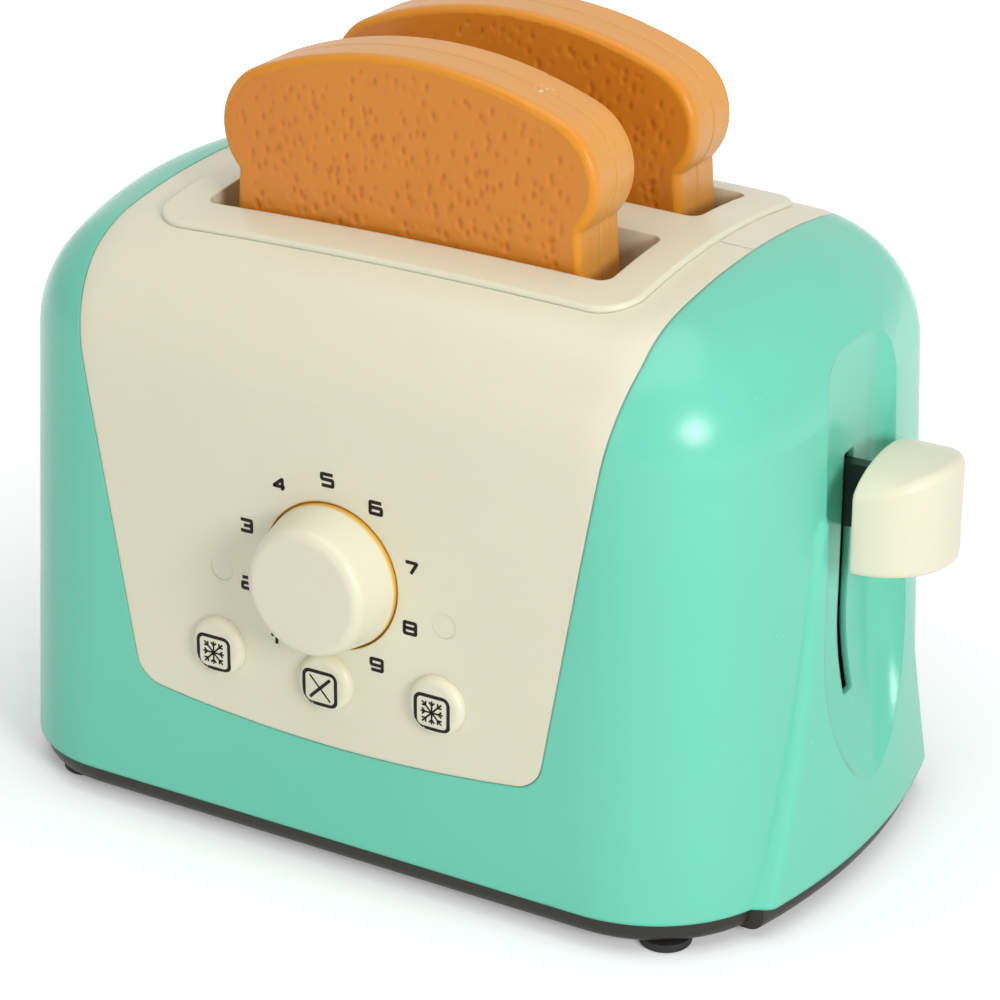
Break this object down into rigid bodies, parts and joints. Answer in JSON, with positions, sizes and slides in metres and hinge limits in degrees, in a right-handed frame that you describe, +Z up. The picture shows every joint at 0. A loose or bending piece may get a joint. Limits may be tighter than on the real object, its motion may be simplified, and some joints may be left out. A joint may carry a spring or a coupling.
{
  "type": "toy toaster",
  "caption": "Moulded pop-up toy toaster with a rounded two-tone body, lever carriage, loose toast slices in open slots, a turning dial and button domes.",
  "frame": {"origin": "on the floor under the centre of the whole footprint, lever knob and dial included", "axes": "+X towards the end with the lever, -Y towards the front with the dial, +Z up"},
  "size_m": [0.2202, 0.1374, 0.1802],
  "materials": {
    "mint_abs": "glossy injection-moulded ABS",
    "cream_abs": "satin injection-moulded ABS",
    "black_pom": "plain moulded black plastic",
    "toast_plastic": "satin moulded plastic, toast brown with a lighter crust",
    "foot_rubber": "matt moulded rubber",
    "steel": "bright drawn steel"
  },
  "bodies": {
    "casing": {"body_shell": "mint_abs", "front_panel": "cream_abs", "rear_panel": "cream_abs", "slot_surround": "cream_abs", "toast_chute_front": "cream_abs", "toast_chute_rear": "cream_abs", "base_plate": "black_pom", "foot_front_plain_end": "foot_rubber", "foot_front_lever_end": "foot_rubber", "foot_rear_plain_end": "foot_rubber", "foot_rear_lever_end": "foot_rubber", "base_screws": "steel", "rod_bracket": "black_pom", "bracket_screws": "steel", "guide_rod_front": "steel", "guide_rod_rear": "steel", "popup_spring": "steel", "mechanism_plate": "cream_abs", "mechanism_screws": "steel", "latch_pin": "steel"},
    "lever": {"carriage": "black_pom", "lever_knob": "cream_abs"},
    "front_slice": {"toast_front_near_half": "toast_plastic", "toast_front_far_half": "toast_plastic"},
    "rear_slice": {"toast_rear_near_half": "toast_plastic", "toast_rear_far_half": "toast_plastic"},
    "dial": {"dial_knob": "cream_abs", "dial_spindle": "black_pom"},
    "latch": {"latch_lever": "black_pom"}
  },
  "joints": [
    {"name": "lever_slide", "type": "slide", "parent": "casing", "child": "lever", "axis": [0, 0, 1], "range_m": [-0.0395, 0], "stiffness_N_per_m": 60, "springref_m": 0.045, "deforming": ["popup_spring"]},
    {"name": "toast_front_lift", "type": "slide", "parent": "lever", "child": "front_slice", "axis": [0, 0, 1], "range_m": [0, 0.1]},
    {"name": "toast_rear_lift", "type": "slide", "parent": "lever", "child": "rear_slice", "axis": [0, 0, 1], "range_m": [0, 0.1]},
    {"name": "dial_turn", "type": "hinge", "parent": "casing", "child": "dial", "pos_m": [-0.0079, -0.05482, 0.073], "axis": [0, -1, 0], "range_deg": [-148, 148]},
    {"name": "latch_swing", "type": "hinge", "parent": "casing", "child": "latch", "pos_m": [0.0161, -0.04522, 0.026], "axis": [0, -1, 0], "range_deg": [0, 9]}
  ]
}
